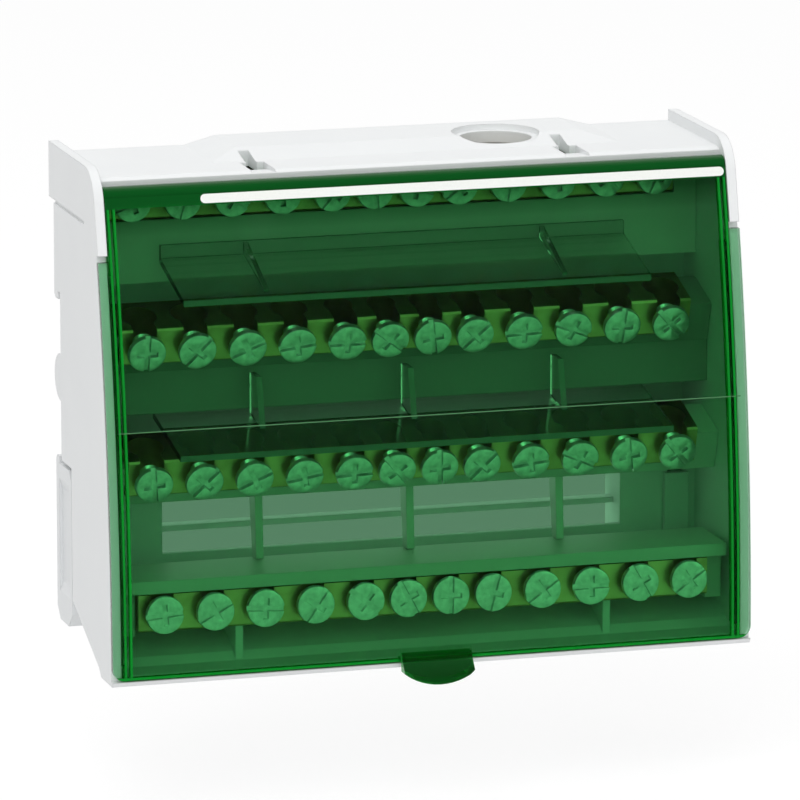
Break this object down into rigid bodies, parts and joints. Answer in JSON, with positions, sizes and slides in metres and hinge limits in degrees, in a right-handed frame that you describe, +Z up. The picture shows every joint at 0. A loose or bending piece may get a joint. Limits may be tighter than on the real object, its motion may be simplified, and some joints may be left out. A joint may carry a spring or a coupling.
{
  "type": "power distribution block",
  "caption": "Rail-mounted power distribution block with stepped, tilted rows of screw terminals on brass bars behind a curved clear green hinged cover.",
  "frame": {"origin": "middle of the rail seat's flat face, level with the middle of the rail", "axes": "+Y out of the back into the rail, so the cover faces -Y; +Z up; +X to the right seen from the front"},
  "size_m": [0.135, 0.054, 0.106],
  "materials": {
    "housing_plastic": "fine moulded texture, light grey",
    "cover_clear": "clear, tinted green, polished",
    "carrier_plastic": "moulded, off-white",
    "bar_brass": "machined, lightly dulled",
    "screw_steel": "bright zinc plated",
    "screen_clear": "clear, polished",
    "latch_plastic": "moulded, light grey",
    "spring_steel": "drawn spring wire"
  },
  "bodies": {
    "block": {"housing": "housing_plastic", "bar_carrier_1": "carrier_plastic", "bar_carrier_2": "carrier_plastic", "bar_carrier_3": "carrier_plastic", "bar_carrier_4": "carrier_plastic", "bar_1": "bar_brass", "bar_2": "bar_brass", "bar_3": "bar_brass", "bar_4": "bar_brass", "terminal_screws_1": "screw_steel", "terminal_screws_2": "screw_steel", "terminal_screws_3": "screw_steel", "terminal_screws_4": "screw_steel", "upper_screen": "screen_clear", "lower_screen": "screen_clear", "latch_spring_left": "spring_steel", "latch_spring_right": "spring_steel"},
    "cover": {"front_cover": "cover_clear"},
    "latch_left": {"rail_latch_left": "latch_plastic"},
    "latch_right": {"rail_latch_right": "latch_plastic"}
  },
  "joints": [
    {"name": "cover_hinge", "type": "hinge", "parent": "block", "child": "cover", "pos_m": [0, -0.02705, 0.0425], "axis": [-1, 0, 0], "range_deg": [0, 100]},
    {"name": "latch_left_slide", "type": "slide", "parent": "block", "child": "latch_left", "axis": [0, 0, -1], "range_m": [0, 0.004], "stiffness_N_per_m": 1000, "springref_m": -0.003, "deforming": ["latch_spring_left"]},
    {"name": "latch_right_slide", "type": "slide", "parent": "block", "child": "latch_right", "axis": [0, 0, -1], "range_m": [0, 0.004], "stiffness_N_per_m": 1000, "springref_m": -0.003, "deforming": ["latch_spring_right"]}
  ]
}
